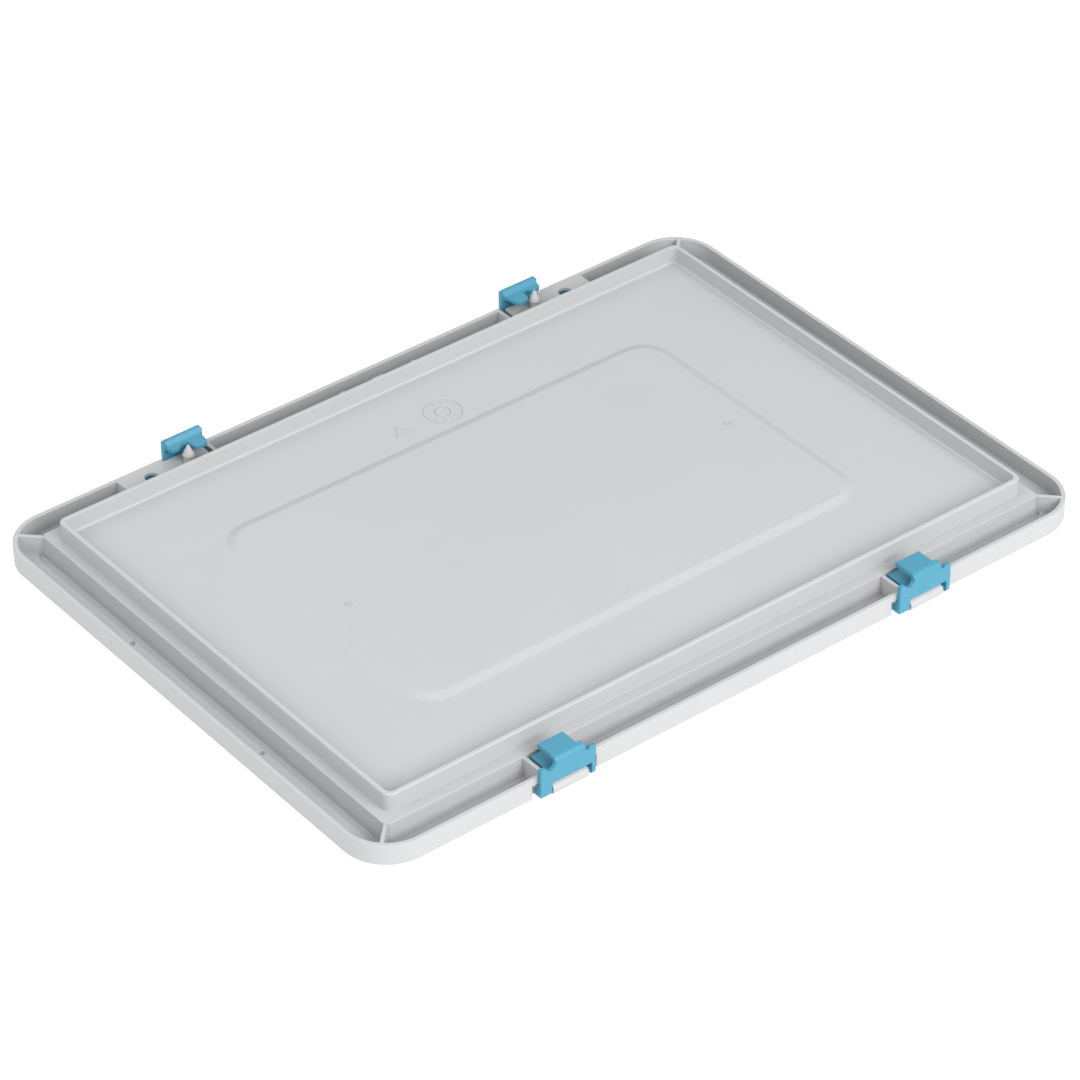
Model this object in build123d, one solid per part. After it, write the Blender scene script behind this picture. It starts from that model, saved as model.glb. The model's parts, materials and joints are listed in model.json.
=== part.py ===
"""Hinged lid for a stacking container, lying underside up on its top face.

Frame: X along the long sides, Y across, +Z up through the underside of the lid.
The hinge side is -Y, the latch side is +Y. Millimetres.
"""
import os
from math import cos, radians

from build123d import *

# ---- overall sizes ------------------------------------------------------------------
LENGTH = 400.0            # outer long side of the lid
WIDTH = 284.0             # outer short side of the lid
CORNER_R = 22.5           # outer corner radius
SHEET = 2.2               # moulded wall thickness

# ---- heights above the resting face -------------------------------------------------
Z_SKIRT_FOOT = 1.2        # outer lower edge of the skirt
Z_FLOOR = 2.0             # bottom of the border groove
Z_SHELF = 3.0             # raised shelf next to the skirt
Z_RIM = 11.6              # edge of the skirt
Z_LEDGE = 12.0            # ledge between riser and locating ring
Z_PLATE = 12.4            # middle plate
Z_PANEL = 13.9            # raised panel of the middle plate
Z_RING = 21.0             # top of the locating ring

# ---- insets from the outer edge: (short sides, long sides) ---------------------------
SHELF_IN = (11.7, 10.4)   # inner edge of the shelf
RISER_FOOT = (15.1, 13.6)
RISER_TOP = (16.0, 14.5)
RING_OUT = (21.2, 20.1)
RING_WALL = 2.4
RING_R = 4.0              # corner radius of the ring
RISER_R = 3.0             # corner radius of the riser

# ---- middle panel, gate marks, date ring ---------------------------------------------
PANEL_X, PANEL_Y, PANEL_R = 121.5, 73.4, 11.5   # half sizes and radius of the flat top
PANEL_SLOPE = 4.4
GATE_X = 108.5
CLOCK_AT = (13.2, 90.5)
CLOCK_R = 9.5
MARK_AT = (-11.0, 89.5)

# ---- drain holes and corner ribs -----------------------------------------------------
DRAIN_R, DRAIN_X, DRAIN_Y = 1.7, 190.8, 48.0
GUSSET_T = 1.8

# ---- hinge side ------------------------------------------------------------------------
HINGE_X = 100.6           # centre of each barrel
PIVOT_Y, PIVOT_Z = -142.0, 3.0
BARREL_R, BARREL_A, BARREL_B = 3.0, -8.7, 10.2
KNUCKLE_R = 2.5
PIN_R, BORE_R, PIN_LEN = 1.4, 1.45, 4.0
WINDOW_L, WINDOW_R = -17.8, 16.6  # opening of the skirt around barrel and ears
WINDOW_TOP = 8.2
SLOT_L, SLOT_R = -9.9, 9.3        # opening for the grip, measured from the barrel centre
CROSS_T = 2.0             # walls that close the groove beside the grip
GRIP_L, GRIP_R, ARM_R = -7.2, 8.5, 6.4   # ends of the C-shaped grip and of its upper arm
PLATE_L, PLATE_R = -15.3, 14.2    # ends of the front plate
PLATE_FOOT, PLATE_TOP, PLATE_DIP = 7.3, 16.6, 14.4
EAR_L, EAR_R = 6.2, 2.0           # widths of the two ears
CLIP_FRONT = PIVOT_Y - KNUCKLE_R  # outer face of the hinge clip
CLIP_T = 2.2
GRIP_TOP, GRIP_MOUTH, ARM_TIP = 19.5, 17.1, -131.6
LIP_L, LIP_R, LIP_TIP = -8.6, 7.9, -128.6
LIP_TOP, LIP_T = 11.6, 2.0        # lower arm of the grip

# ---- latch side ------------------------------------------------------------------------
PAD_END = 134.7           # corner end of the pad over the slider pocket
PAD_MID = 88.6            # mid-lid end of the pad
POCKET_A, POCKET_B = 86.4, 132.6  # slider pocket along X
POCKET_Y = 128.9
PAD_T = 2.0
PEG_X, PEG_Y = 100.3, 132.1
PEG_R, PEG_NECK = 2.8, 2.3        # radii of the snap head and of its neck
PEG_SHOULDER, PEG_TIP = 15.9, 21.2
SIGHT_X, SIGHT_Y, SIGHT_R = 120.0, 133.0, 3.4
SLIDER_A, SLIDER_B = 87.0, 132.0
SLIDER_TOP, SLIDER_FOOT = 9.2, 0.9
HOOK_A, HOOK_B = 86.9, 108.2      # hook wall along X
HOOK_IN, HOOK_OUT = 140.3, 142.6  # hook wall across the lid
HOOK_TOP = 21.4                   # top of the wall
HOOK_Z, HOOK_T = 18.9, 2.1        # top and thickness of the hook itself
LOBE_A, LOBE_B = 89.7, 107.2      # centre side and corner side of the lobes
LOBE_MID_Y, LOBE_END_Y = 131.1, 135.5
NOTCH_A, NOTCH_Y = 96.9, 137.3
TAB_Z, TAB_H, TAB_OUT = 5.6, 2.0, 0.8   # guide tabs on the slider ends
TAB_Y0, TAB_Y1 = 129.6, 131.8
TRAVEL = 9.0


def rect_at(inset, radius):
    """Rounded rectangle whose sides lie at the given (short side, long side) insets."""
    return RectangleRounded(LENGTH - 2 * inset[0], WIDTH - 2 * inset[1], radius)


def prism(inset, radius, z0, z1, taper=0.0):
    return Pos(0, 0, z0) * extrude(rect_at(inset, radius), z1 - z0, taper=taper)


def block(x0, x1, y0, y1, z0, z1):
    """Box between the given corner coordinates."""
    return Pos((x0 + x1) / 2, (y0 + y1) / 2, (z0 + z1) / 2) * Box(
        abs(x1 - x0), abs(y1 - y0), abs(z1 - z0))


def rod_x(x0, x1, y, z, radius):
    """Cylinder along X."""
    return Pos((x0 + x1) / 2, y, z) * Rot(0, 90, 0) * Cylinder(radius, abs(x1 - x0))


def rounded_face(corners):
    """Closed outline through (a, b, corner radius) points."""
    face = make_face(Polyline(*[(a, b) for a, b, _ in corners], close=True))
    for a, b, radius in corners:
        if radius:
            near = [v for v in face.vertices() if (Vector(v) - Vector(a, b)).length < 0.01]
            face = fillet(near, radius)
    return face


def section_x(corners, x0, x1):
    """Extrude a rounded (y, z) outline along X."""
    return Pos(x0, 0, 0) * extrude(Plane.YZ * rounded_face(corners), x1 - x0, dir=(1, 0, 0))


def section_y(corners, y0, y1):
    """Extrude a rounded (x, z) outline along Y."""
    return Pos(0, y0, 0) * extrude(Plane.XZ * rounded_face(corners), y1 - y0, dir=(0, 1, 0))


# ---- lid body ----------------------------------------------------------------------------
def border():
    """Skirt, border groove with its shelf, and the tapered riser with the ledge."""
    outer = prism((0, 0), CORNER_R, 0, Z_RIM)
    foot = outer.edges().filter_by(Plane.XY).group_by(Axis.Z)[0]
    outer = chamfer(foot, Z_SKIRT_FOOT, 3.0)
    inner_r = CORNER_R - SHEET
    groove = prism((SHEET, SHEET), inner_r, Z_SHELF, Z_RIM + 1)
    groove += prism(SHELF_IN, CORNER_R - 10.4, Z_FLOOR, Z_RIM)
    height = Z_LEDGE - Z_FLOOR
    core = prism(RISER_FOOT, RISER_R + 0.9, Z_FLOOR, Z_LEDGE, taper=5.1)
    return outer - groove + core


def ring():
    """Locating ring standing on the ledge, with its locating nibs on the latch side."""
    wall = prism(RING_OUT, RING_R, Z_LEDGE - 1, Z_RING)
    wall = fillet(wall.edges().filter_by(Plane.XY).group_by(Axis.Z)[-1], 0.7)
    y = WIDTH / 2 - RING_OUT[1]
    for x, half in ((-20.4, 1.2), (0, 3.2), (20.4, 1.2)):
        nib = block(x - half, x + half, y - 1, y + 0.9, Z_LEDGE - 1, Z_RING - 0.3)
        top = nib.edges().filter_by(Axis.X).sort_by(Axis.Z)[-2:].sort_by(Axis.Y)[-1]
        wall += fillet(top, 0.8)
    return wall


def tray():
    """Space inside the ring, with the raised panel left standing."""
    inset = (RING_OUT[0] + RING_WALL, RING_OUT[1] + RING_WALL)
    cut = prism(inset, RING_R - 1.4, Z_PLATE, Z_RING + 1, taper=-1.2)
    cut = fillet(cut.edges().filter_by(Plane.XY).group_by(Axis.Z)[0], 1.3)
    return cut


def panel():
    """Raised panel with long soft slopes."""
    low = Plane.XY.offset(Z_PLATE) * RectangleRounded(
        2 * (PANEL_X + PANEL_SLOPE), 2 * (PANEL_Y + PANEL_SLOPE), PANEL_R + PANEL_SLOPE)
    high = Plane.XY.offset(Z_PANEL) * RectangleRounded(2 * PANEL_X, 2 * PANEL_Y, PANEL_R)
    return loft([low, high])


def field():
    """Sunken field on the top side, where the next container stands."""
    inset = (RISER_TOP[0] + SHEET, RISER_TOP[1] + SHEET)
    cut = prism(inset, RISER_R, -1, Z_LEDGE - SHEET)
    cut = fillet(cut.edges().filter_by(Plane.XY).group_by(Axis.Z)[-1], 1.0)
    cut += prism((RING_OUT[0] + 2, RING_OUT[1] + 2), RING_R, 0, Z_PLATE - SHEET)
    return cut + Pos(0, 0, Z_PLATE - SHEET - Z_PLATE) * panel()


def gussets():
    """One diagonal rib in each corner, from the riser corner to the skirt."""
    ribs = Part()
    start = (LENGTH / 2 - RISER_TOP[0] - 1.2, WIDTH / 2 - RISER_TOP[1] - 1.2)
    reach = CORNER_R * (1 - cos(radians(45)))
    end = (LENGTH / 2 - reach - 1, WIDTH / 2 - reach - 1)
    mid = ((start[0] + end[0]) / 2, (start[1] + end[1]) / 2)
    length = ((end[0] - start[0]) ** 2 + (end[1] - start[1]) ** 2) ** 0.5
    for sx in (-1, 1):
        for sy in (-1, 1):
            rib = Box(length, GUSSET_T, Z_RIM - 1)
            ribs += Pos(sx * mid[0], sy * mid[1], (Z_RIM + 1) / 2) * Rot(0, 0, 45 * sx * sy) * rib
    return ribs


def marks():
    """Shallow moulded marks on the middle plate: (material to add, material to cut)."""
    depth = 0.25
    add, cut = Part(), Part()
    for x in (-GATE_X, GATE_X):
        cut += Pos(x, 0, Z_PANEL) * Cylinder(1.9, 2 * depth)
        add += Pos(x, 0, Z_PANEL - depth) * Cylinder(0.8, 0.9)
    at = Pos(*CLOCK_AT, Z_PLATE)
    cut += at * extrude(Circle(CLOCK_R) - Circle(CLOCK_R - 0.7), depth, both=True)
    cut += at * extrude(Circle(4.0) - Circle(3.6), depth, both=True)
    add += at * Rot(0, 0, -29) * Pos(0, 0, 0) * Box(6.6, 1.7, 2 * depth)
    for k in range(12):
        turn = Rot(0, 0, 30 * k)
        add += at * turn * Pos(CLOCK_R - 2.6, 0, 0) * Box(1.6, 0.5, 2 * depth)
    tri = RegularPolygon(5.4, 3) - RegularPolygon(4.1, 3)
    add += Pos(*MARK_AT, Z_PLATE) * Rot(0, 0, 90) * extrude(tri, depth, both=True)
    return add, cut


def hinge_station(x):
    """Barrel, walls and openings for one hinge clip: (material to add, material to cut)."""
    edge = -WIDTH / 2
    riser = edge + RISER_TOP[1] + 0.4
    add = block(x + SLOT_L - CROSS_T, x + SLOT_L, edge + 1, riser, 1, Z_RIM)
    add += block(x + SLOT_R, x + SLOT_R + CROSS_T, edge + 1, riser, 1, Z_RIM)
    cut = block(x + WINDOW_L, x + WINDOW_R, edge - 5, edge + SHEET + 1.6, -1, WINDOW_TOP)
    cut += block(x + SLOT_L, x + SLOT_R, edge - 1, riser - 1.0, Z_SHELF + 4.2, Z_RIM + 1)
    web = rod_x(x + BARREL_A, x + BARREL_B, PIVOT_Y, PIVOT_Z, BARREL_R)
    web += block(x + BARREL_A, x + BARREL_B, PIVOT_Y, edge + SHEET + 2.6,
                 PIVOT_Z - BARREL_R, PIVOT_Z + 0.6)
    bore = rod_x(x + BARREL_A - 1, x + BARREL_B + 1, PIVOT_Y, PIVOT_Z, BORE_R)
    return add, cut, web, bore


def latch_station(side):
    """Pad, pocket, peg and sight hole for one latch; side is -1 or +1 along X."""
    edge = WIDTH / 2
    riser = edge - RISER_TOP[1] - 0.6

    def bx(x0, x1, y0, y1, z0, z1):
        return block(side * x0, side * x1, y0, y1, z0, z1)

    add = bx(PAD_MID, PAD_END, riser, edge - 1, Z_RIM - PAD_T, Z_RIM)
    add += bx(POCKET_B, PAD_END, riser, edge - 1, 1, Z_RIM)
    add += bx(POCKET_A - CROSS_T, POCKET_A, riser, edge - 1, 1, Z_RIM)
    pocket = bx(POCKET_A, POCKET_B, POCKET_Y, edge + 1, -1, Z_RIM - PAD_T)
    groove_z = (TAB_Z - 0.3, TAB_Z + TAB_H + 0.3)
    pocket += bx(POCKET_A - 1.2, POCKET_B + 1.2, POCKET_Y, TAB_Y1 + TRAVEL + 0.3, *groove_z)
    pocket += Pos(side * SIGHT_X, SIGHT_Y, Z_RIM) * Cylinder(SIGHT_R, 10)
    pocket += bx(POCKET_A, HOOK_B + 0.5, edge - SHEET, edge + 1, SLIDER_TOP - 1, Z_RIM + 1)
    return add, pocket, Pos(side * PEG_X, PEG_Y, 0) * peg_shape()


def peg_shape():
    """Bullet-shaped snap peg on a narrower neck."""
    half = [(0, Z_RIM - 1), (PEG_NECK, Z_RIM - 1), (PEG_NECK, PEG_SHOULDER - 1.1),
            (PEG_R, PEG_SHOULDER - 0.6), (PEG_R, PEG_SHOULDER), (PEG_R - 0.9, PEG_SHOULDER + 2.1),
            (0.5, PEG_TIP - 0.3), (0, PEG_TIP)]
    return revolve(make_face(Plane.XZ * Polyline(*half, close=True)), Axis.Z)


def make_lid():
    body = border() + ring()
    body -= tray()
    body += panel()
    body -= field()
    body += gussets()
    for x in (-HINGE_X, HINGE_X):
        add, cut, web, bore = hinge_station(x)
        body = body + add - cut + web - bore
    for side in (-1, 1):
        add, pocket, peg = latch_station(side)
        body = body + add - pocket + peg
    add, cut = marks()
    body = body - cut + add
    for x in (-DRAIN_X, DRAIN_X):
        for y in (-DRAIN_Y, DRAIN_Y):
            body -= Pos(x, y, 0) * Cylinder(DRAIN_R, 20)
    return body


# ---- moving pieces ---------------------------------------------------------------------
def make_hinge_clip(x):
    """C-shaped grip for the container rim, hung on the lid barrel by two ears."""
    f = CLIP_FRONT
    inner = f + CLIP_T
    grip = [(f, GRIP_TOP, 3.0), (ARM_TIP, GRIP_TOP, 0.6), (ARM_TIP, GRIP_MOUTH, 0.6),
            (inner, GRIP_MOUTH, 1.4), (inner, LIP_TOP, 2.4), (LIP_TIP, LIP_TOP, 0.5),
            (LIP_TIP, LIP_TOP - LIP_T, 0.5), (inner, LIP_TOP - LIP_T, 0), (inner, PLATE_FOOT, 0),
            (f, PLATE_FOOT, 0)]
    clip = section_x(grip, x + GRIP_L, x + ARM_R)
    back = [(f, GRIP_TOP, 3.0), (f + 3.6, GRIP_TOP, 0), (f + 3.6, GRIP_MOUTH, 0),
            (inner, GRIP_MOUTH, 0), (inner, PLATE_FOOT, 0), (f, PLATE_FOOT, 0)]
    clip += section_x(back, x + ARM_R - 1, x + GRIP_R)
    clip += block(x + LIP_L, x + LIP_R, inner - 1, LIP_TIP, LIP_TOP - LIP_T, LIP_TOP)
    plate = [(PLATE_L, PLATE_FOOT, 0), (PLATE_L, PLATE_TOP, 0.9), (PLATE_L + 2.6, PLATE_TOP, 0.7),
             (PLATE_L + 4.6, PLATE_DIP, 2.0), (GRIP_L - 1.5, PLATE_DIP, 1.2), (GRIP_L, 16.4, 0),
             (GRIP_R, 16.4, 0), (GRIP_R + 1.2, PLATE_DIP + 0.8, 0.8),
             (PLATE_R - 2.8, PLATE_TOP, 0.8), (PLATE_R, PLATE_TOP, 0.9), (PLATE_R, PLATE_FOOT, 0)]
    clip += Pos(x, 0, 0) * section_y(plate, f, inner)
    ears = ((PLATE_L, PLATE_L + EAR_L), (PLATE_R - EAR_R, PLATE_R))
    for x0, x1 in ears:
        ear = rod_x(x + x0, x + x1, PIVOT_Y, PIVOT_Z, KNUCKLE_R)
        ear += block(x + x0, x + x1, f, inner + 1.0, PIVOT_Z, PLATE_FOOT + 0.3)
        low, round_r = PIVOT_Z - KNUCKLE_R, min(2.2, 0.45 * (x1 - x0))
        front = [(x0, PLATE_TOP, 0), (x0, low, round_r), (x1, low, round_r), (x1, PLATE_TOP, 0)]
        clip += ear & (Pos(x, 0, 0) * section_y(front, f - 1, f + 8))
    a, b = x + ears[0][1], x + ears[1][0]
    clip += rod_x(a - 1, a + PIN_LEN, PIVOT_Y, PIVOT_Z, PIN_R)
    clip += rod_x(b - PIN_LEN, b + 1, PIVOT_Y, PIVOT_Z, PIN_R)
    return clip


def make_hook():
    """Wall and hook: two rounded lobes with the peg notch between them."""
    tip = LOBE_MID_Y - 1.0
    plan = [(HOOK_A, HOOK_OUT, 0), (HOOK_A, HOOK_IN, 1.0), (LOBE_A - 1, NOTCH_Y, 2.0),
            (LOBE_A, LOBE_MID_Y, 2.2), (NOTCH_A, LOBE_MID_Y, 2.8), (NOTCH_A + 0.4, NOTCH_Y, 1.0),
            (NOTCH_A + 2.6, NOTCH_Y, 2.0), (NOTCH_A + 6.0, LOBE_END_Y, 3.0),
            (LOBE_B, LOBE_END_Y, 2.2), (LOBE_B, HOOK_IN - 1.0, 0.6), (HOOK_B, HOOK_IN, 0.6),
            (HOOK_B, HOOK_OUT, 0)]
    side = [(HOOK_OUT, SLIDER_TOP - 2, 0), (HOOK_OUT, HOOK_TOP, 1.2), (HOOK_IN, HOOK_TOP, 0.8),
            (HOOK_IN - 2.0, HOOK_Z, 2.0), (tip, HOOK_Z, 0), (tip, HOOK_Z - HOOK_T, 0),
            (HOOK_IN, HOOK_Z - HOOK_T, 1.0), (HOOK_IN, SLIDER_TOP - 2, 0)]
    front = [(HOOK_A, SLIDER_TOP - 2, 0), (HOOK_A, HOOK_TOP, 2.0), (HOOK_B, HOOK_TOP, 2.0),
             (HOOK_B, SLIDER_TOP - 2, 0)]
    hook = extrude(rounded_face(plan), HOOK_TOP + 1)
    hook = hook & section_x(side, HOOK_A - 1, HOOK_B + 1)
    return hook & section_y(front, tip - 1, HOOK_OUT + 1)


def make_latch():
    """Sliding snap latch: slider under the pad, wall through its notch, hook on top."""
    wall = 1.8
    body = block(SLIDER_A, SLIDER_B, POCKET_Y + 0.4, HOOK_OUT, SLIDER_FOOT, SLIDER_TOP)
    body -= block(SLIDER_A + wall, SLIDER_B - wall, POCKET_Y + 0.4 + wall, HOOK_OUT - wall,
                  SLIDER_FOOT - 1, SLIDER_TOP - wall)
    for k in range(5):
        x = 112.4 + 3.6 * k
        body += block(x, x + 1.2, HOOK_OUT - 0.5, HOOK_OUT + 0.5, 2.0, SLIDER_TOP - 1.0)
    body += block(SLIDER_A - TAB_OUT, SLIDER_B + TAB_OUT, TAB_Y0, TAB_Y1, TAB_Z, TAB_Z + TAB_H)
    return body + make_hook()


PARTS = {
    "lid_body": make_lid(),
    "hinge_clip_left": make_hinge_clip(-HINGE_X),
    "hinge_clip_right": make_hinge_clip(HINGE_X),
    "slide_latch_left": mirror(make_latch(), about=Plane.YZ),
    "slide_latch_right": make_latch(),
}

os.makedirs("parts", exist_ok=True)
for name, shape in PARTS.items():
    solids = shape.solids()
    print(name, len(solids), "solid(s), volume", round(shape.volume), shape.bounding_box())
    shape.label = name
    export_step(shape, f"parts/{name}.step")
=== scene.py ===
import json
from math import cos, radians, sin

import bmesh
import bpy
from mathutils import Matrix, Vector
from mathutils.bvhtree import BVHTree


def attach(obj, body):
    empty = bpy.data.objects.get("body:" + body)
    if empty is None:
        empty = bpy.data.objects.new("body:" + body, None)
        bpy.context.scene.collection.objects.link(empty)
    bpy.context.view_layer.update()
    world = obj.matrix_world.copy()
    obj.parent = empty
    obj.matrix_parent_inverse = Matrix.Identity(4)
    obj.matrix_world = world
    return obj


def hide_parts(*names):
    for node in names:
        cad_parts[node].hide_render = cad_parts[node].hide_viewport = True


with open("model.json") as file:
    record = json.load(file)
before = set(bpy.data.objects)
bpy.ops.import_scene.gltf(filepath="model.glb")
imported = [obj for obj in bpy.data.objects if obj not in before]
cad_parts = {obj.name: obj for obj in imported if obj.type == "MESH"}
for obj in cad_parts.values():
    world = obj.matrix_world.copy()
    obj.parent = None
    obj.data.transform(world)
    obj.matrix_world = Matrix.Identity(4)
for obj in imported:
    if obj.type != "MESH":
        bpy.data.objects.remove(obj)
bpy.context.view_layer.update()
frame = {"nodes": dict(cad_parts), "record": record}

# ---- driving values: lengths in metres, directions in degrees ---------------------------
MM = 0.001
AZIMUTH, ELEVATION, DISTANCE = -38.524, 37.028, 2.1476
TARGET = Vector((-0.00361, -0.00276, 0.0012))
SENSOR, FOCAL = 36.0, 159.65  # camera, millimetres
CLIP_NEAR, CLIP_FAR = 0.05, 50

GREY = (0.45, 0.455, 0.46)
BLUE = (0.05, 0.255, 0.37)
PLASTIC_IOR = 1.49
CLOUDS, FLOW, DUST, GRAIN = 9.0, 60.0, 420.0, 1400.0   # noise scales, coarse to fine
GRAIN_DEPTH = 0.03 * MM

FLOOR_HALF = 6.0
FLOOR_DROP = 0.3 * MM         # gap that keeps the floor's surface off the lid's
FLOOR_TONE, FLOOR_GLOW = 0.3, 0.85
WORLD_LIGHT = 0.65
LAMPS = {                     # azimuth, elevation, distance, size, power
    "front": (5, 35, 2.4, (1.8, 1.2), 56.0),
    "left": (-95, 35, 2.4, (1.4, 1.2), 18.0),
    "back": (170, 45, 2.4, (1.6, 1.2), 6.0),
}

WELD = 0.005 * MM             # vertices closer than this become one
FLAT_ANGLE = radians(0.6)     # facets turned less than this join into one face
SOFT_EDGE = 0.35 * MM         # rounding of moulded edges
SOFT_TRIES = 12
CROWD = 0.8 * MM              # corners this close to a failed rounding stay sharp
HARD_ANGLE = radians(28)      # edges sharper than this are rounded
MARK_STEP = 0.6 * MM          # steps lower than this belong to the moulded marks
STEEP = 0.5                   # a face whose normal rises less than this counts as a step
SLOPE_SOFT = 0.8 * MM         # rounding of the panel's long slopes
SLOPE_ANGLE = radians(12)
NEARLY_LEVEL = 0.93           # a face whose normal rises more than this belongs to the panel
SMOOTH_ANGLE = radians(24)    # facets closer than this shade as one curved face
FACING = radians(72)          # a rounding takes its shading from faces turned less than this
NO_ANGLE = radians(360)       # stands for the angle to a face without a normal
NO_AREA = 1e-12


def direction(azimuth, elevation):
    """Unit vector towards a viewer at this azimuth and elevation."""
    a, e = radians(azimuth), radians(elevation)
    return Vector((sin(a) * cos(e), -cos(a) * cos(e), sin(e)))


# ---- node helpers ------------------------------------------------------------------------
def new_material(name):
    """Empty node material with its output: (material, nodes, links)."""
    material = bpy.data.materials.new(name)
    material.use_nodes = True
    tree = material.node_tree
    tree.nodes.clear()
    return material, tree.nodes, tree.links


def noise(nodes, links, coords, scale, detail=2.0, roughness=0.5):
    """Noise value over the object's own coordinates."""
    node = nodes.new("ShaderNodeTexNoise")
    node.inputs["Scale"].default_value = scale
    node.inputs["Detail"].default_value = detail
    node.inputs["Roughness"].default_value = roughness
    links.new(coords.outputs["Object"], node.inputs["Vector"])
    return node.outputs["Fac"]


def ranged(nodes, links, source, low, high, to_low, to_high):
    """Map a value from one range to another."""
    node = nodes.new("ShaderNodeMapRange")
    node.inputs["From Min"].default_value = low
    node.inputs["From Max"].default_value = high
    node.inputs["To Min"].default_value = to_low
    node.inputs["To Max"].default_value = to_high
    links.new(source, node.inputs["Value"])
    return node.outputs["Result"]


def blend(nodes, links, factor, first, second):
    """Mix of two colours; each is a colour or an output socket."""
    node = nodes.new("ShaderNodeMix")
    node.data_type = "RGBA"
    for slot_name, value in (("A", first), ("B", second)):
        if isinstance(value, tuple):
            node.inputs[slot_name].default_value = (*value, 1)
        else:
            links.new(value, node.inputs[slot_name])
    links.new(factor, node.inputs["Factor"])
    return node.outputs["Result"]


def scaled(colour, factor):
    """Colour made lighter or darker."""
    return tuple(min(1.0, c * factor) for c in colour)


def plastic(name, colour, spread, roughness, grain):
    """Moulded plastic: flow clouds, fine spark-eroded grain, sparse dust specks."""
    material, nodes, links = new_material(name)
    out = nodes.new("ShaderNodeOutputMaterial")
    shader = nodes.new("ShaderNodeBsdfPrincipled")
    shader.inputs["IOR"].default_value = PLASTIC_IOR
    coords = nodes.new("ShaderNodeTexCoord")
    clouds = noise(nodes, links, coords, CLOUDS, detail=3.0)
    flow = noise(nodes, links, coords, FLOW)
    speckle = noise(nodes, links, coords, GRAIN)
    dust = noise(nodes, links, coords, DUST, detail=1.0)
    base = blend(nodes, links, ranged(nodes, links, clouds, 0.3, 0.7, 0.0, 1.0),
                 scaled(colour, 1 - spread), scaled(colour, 1 + spread))
    base = blend(nodes, links, ranged(nodes, links, flow, 0.45, 0.75, 0.0, 0.5),
                 base, scaled(colour, 1 + 1.5 * spread))
    base = blend(nodes, links, ranged(nodes, links, dust, 0.74, 0.80, 0.0, 0.35),
                 base, scaled(colour, 0.8))
    links.new(base, shader.inputs["Base Color"])
    links.new(ranged(nodes, links, speckle, 0.3, 0.7, roughness - 0.05, roughness + 0.06),
              shader.inputs["Roughness"])
    bump = nodes.new("ShaderNodeBump")
    bump.inputs["Strength"].default_value = grain
    bump.inputs["Distance"].default_value = GRAIN_DEPTH
    links.new(speckle, bump.inputs["Height"])
    links.new(bump.outputs["Normal"], shader.inputs["Normal"])
    links.new(shader.outputs["BSDF"], out.inputs["Surface"])
    return material


# ---- the pieces --------------------------------------------------------------------------
def shallow(edge):
    """True for an edge of the shallow moulded marks."""
    for face in edge.link_faces:
        heights = [v.co.z for v in face.verts]
        if max(heights) - min(heights) < MARK_STEP and abs(face.normal.z) < STEEP:
            return True
    return False


def gentle(edge):
    """True for the edges of the panel's long slopes: both faces nearly level."""
    return min(abs(f.normal.z) for f in edge.link_faces) > NEARLY_LEVEL


def bevel(bm, edges, width, segments):
    """Round these edges; the new faces get material index 1 for the shading step."""
    made = bmesh.ops.bevel(bm, geom=edges, offset=width, offset_type="OFFSET", segments=segments,
                           profile=0.5, affect="EDGES", clamp_overlap=False,
                           miter_outer="ARC", miter_inner="SHARP")
    for face in made["faces"]:
        face.material_index = 1


def soften(bm):
    """Round the hard outer edges, leaving out those at crowded corners that would not fit."""
    surface = BVHTree.FromBMesh(bm)
    crowded = []
    for _ in range(SOFT_TRIES):
        trial = bm.copy()
        hard = [e for e in trial.edges if e.is_manifold and e.is_convex and not shallow(e)
                and e.calc_face_angle(0) > HARD_ANGLE
                and not any((v.co - spot).length < CROWD for v in e.verts for spot in crowded)]
        bevel(trial, hard, SOFT_EDGE, 2)
        far = {v for v in trial.verts if surface.find_nearest(v.co)[3] > SOFT_EDGE}
        if not far:
            bm.free()
            return trial
        crowded += [e.other_vert(v).co.copy() for v in far for e in v.link_edges
                    if e.other_vert(v) not in far]
        trial.free()
    return bm


def mean_normal(faces):
    """Direction of these faces together, each weighted by its area."""
    total = Vector((0, 0, 0))
    for face in faces:
        total += face.normal * face.calc_area()
    return total.normalized()


def corner_normal(loop):
    """Shading normal of one face corner: true on the flat faces, blended over the roundings."""
    face, vert = loop.face, loop.vert
    fair = [f for f in vert.link_faces if f.calc_area() > NO_AREA]
    facing = [f for f in fair if f.normal.angle(face.normal, NO_ANGLE) < FACING]
    plain = [f for f in facing if f.material_index == 0]
    if not plain:
        return mean_normal(facing or [face])
    lead = face
    if face.material_index == 1:
        lead = max(plain, key=lambda f: f.calc_area())
    near = [f for f in plain if f.normal.angle(lead.normal, NO_ANGLE) < SMOOTH_ANGLE]
    return mean_normal(near or [lead])


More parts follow.
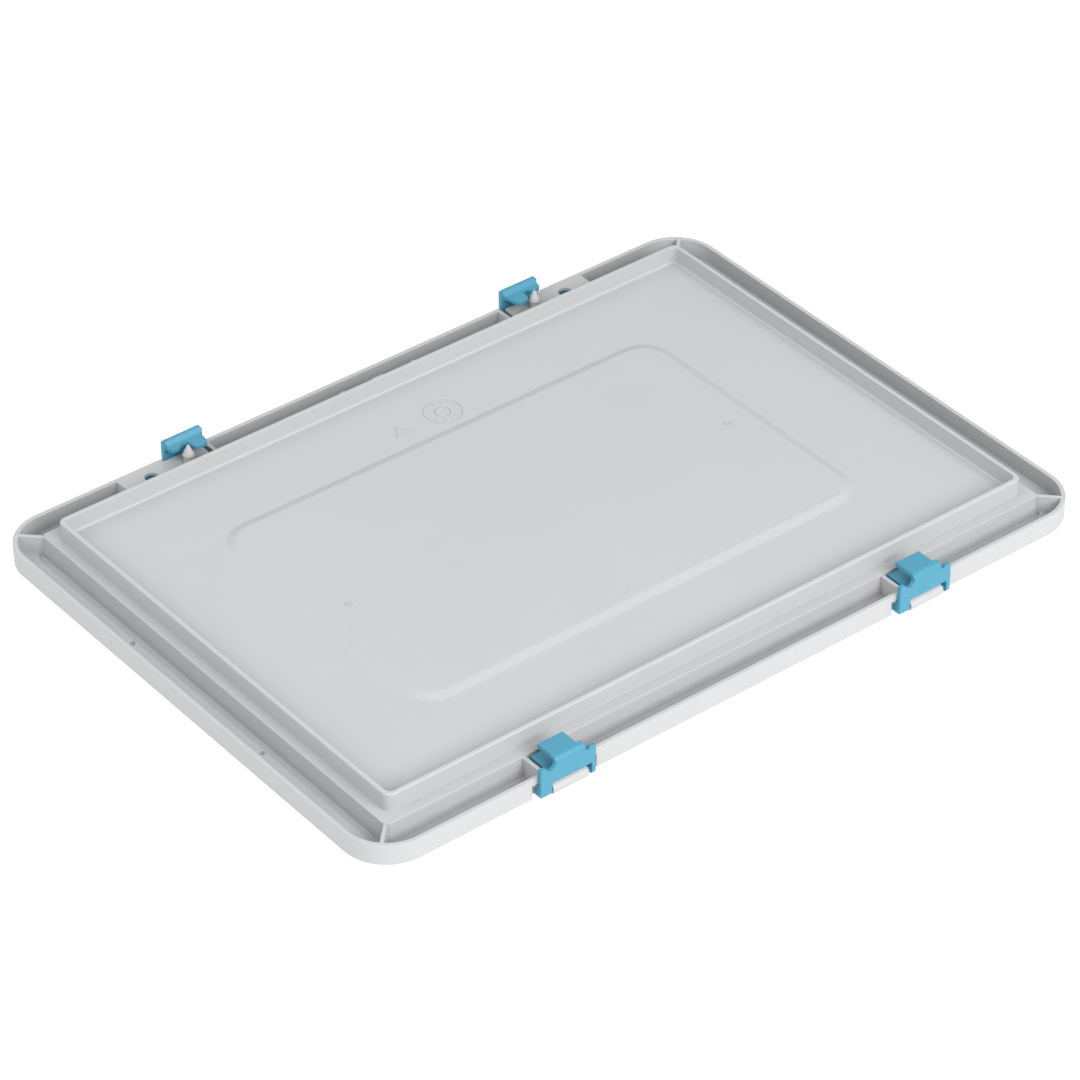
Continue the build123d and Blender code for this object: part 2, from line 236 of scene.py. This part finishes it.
def rounded(node, material):
    """The CAD node's surface as one welded mesh with rounded edges, standing for the node."""
    mesh = frame["nodes"][node].data.copy()
    mesh.name = node + "_skin"
    if "custom_normal" in mesh.attributes:
        mesh.attributes.remove(mesh.attributes["custom_normal"])
    bm = bmesh.new()
    bm.from_mesh(mesh)
    bmesh.ops.remove_doubles(bm, verts=bm.verts, dist=WELD)
    bmesh.ops.dissolve_limit(bm, angle_limit=FLAT_ANGLE, verts=bm.verts, edges=bm.edges)
    for face in bm.faces:
        face.material_index = 0
        face.smooth = True
    slopes = [e for e in bm.edges if e.is_manifold and gentle(e)
              and SLOPE_ANGLE < e.calc_face_angle(0) < HARD_ANGLE]
    bevel(bm, slopes, SLOPE_SOFT, 3)
    bm = soften(bm)
    bm.normal_update()
    bm.faces.index_update()
    normals = [corner_normal(loop) for face in bm.faces for loop in face.loops]
    for face in bm.faces:
        face.material_index = 0
    bm.to_mesh(mesh)
    bm.free()
    mesh.materials.clear()
    mesh.materials.append(material)
    mesh.normals_split_custom_set(normals)
    piece = bpy.data.objects.new(node + "_skin", mesh)
    bpy.context.scene.collection.objects.link(piece)
    return piece


grey = plastic("grey_plastic_look", GREY, spread=0.012, roughness=0.5, grain=0.25)
blue = plastic("blue_plastic_look", BLUE, spread=0.03, roughness=0.42, grain=0.25)

for body, members in frame["record"]["behaviour"]["bodies"].items():
    for node in members:
        is_lid = node == "lid_body"
        piece = rounded(node, grey if is_lid else blue)
        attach(piece, body)
        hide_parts(node)


# ---- studio -------------------------------------------------------------------------------
def make_floor():
    """Plain pale floor under the lid, with a glow that keeps it near white."""
    mesh = bpy.data.meshes.new("floor")
    signs = ((-1, -1), (1, -1), (1, 1), (-1, 1))
    mesh.from_pydata([(x * FLOOR_HALF, y * FLOOR_HALF, 0) for x, y in signs], [], [(0, 1, 2, 3)])
    floor = bpy.data.objects.new("floor", mesh)
    floor.location.z = -FLOOR_DROP
    bpy.context.scene.collection.objects.link(floor)
    material, nodes, links = new_material("floor_paint")
    out = nodes.new("ShaderNodeOutputMaterial")
    shader = nodes.new("ShaderNodeBsdfDiffuse")
    shader.inputs["Color"].default_value = (FLOOR_TONE, FLOOR_TONE, FLOOR_TONE, 1)
    glow = nodes.new("ShaderNodeEmission")
    glow.inputs["Strength"].default_value = FLOOR_GLOW
    both = nodes.new("ShaderNodeAddShader")
    links.new(shader.outputs["BSDF"], both.inputs[0])
    links.new(glow.outputs["Emission"], both.inputs[1])
    links.new(both.outputs["Shader"], out.inputs["Surface"])
    mesh.materials.append(material)


def make_lights():
    """Soft rectangular lamps aimed at the lid, in an even white surround."""
    for name, (azimuth, elevation, distance, size, power) in LAMPS.items():
        lamp = bpy.data.lights.new(name, "AREA")
        lamp.shape = "RECTANGLE"
        lamp.size, lamp.size_y = size
        lamp.energy = power
        light = bpy.data.objects.new(name, lamp)
        back = direction(azimuth, elevation)
        light.location = back * distance
        light.rotation_mode = "QUATERNION"
        light.rotation_quaternion = (-back).to_track_quat("-Z", "Y")
        bpy.context.scene.collection.objects.link(light)
    world = bpy.data.worlds.new("studio")
    bpy.context.scene.world = world
    world.use_nodes = True
    background = world.node_tree.nodes["Background"]
    background.inputs["Color"].default_value = (1, 1, 1, 1)
    background.inputs["Strength"].default_value = WORLD_LIGHT


def make_camera():
    """Camera in front of the lid, to the left and above, aimed at TARGET."""
    data = bpy.data.cameras.new("camera")
    data.sensor_width = SENSOR
    data.lens = FOCAL
    data.clip_start, data.clip_end = CLIP_NEAR, CLIP_FAR
    camera = bpy.data.objects.new("camera", data)
    back = direction(AZIMUTH, ELEVATION)
    camera.location = TARGET + back * DISTANCE
    camera.rotation_mode = "QUATERNION"
    camera.rotation_quaternion = (-back).to_track_quat("-Z", "Y")
    bpy.context.scene.collection.objects.link(camera)
    bpy.context.scene.camera = camera


make_floor()
make_lights()
make_camera()
bpy.context.scene.view_settings.view_transform = "Standard"
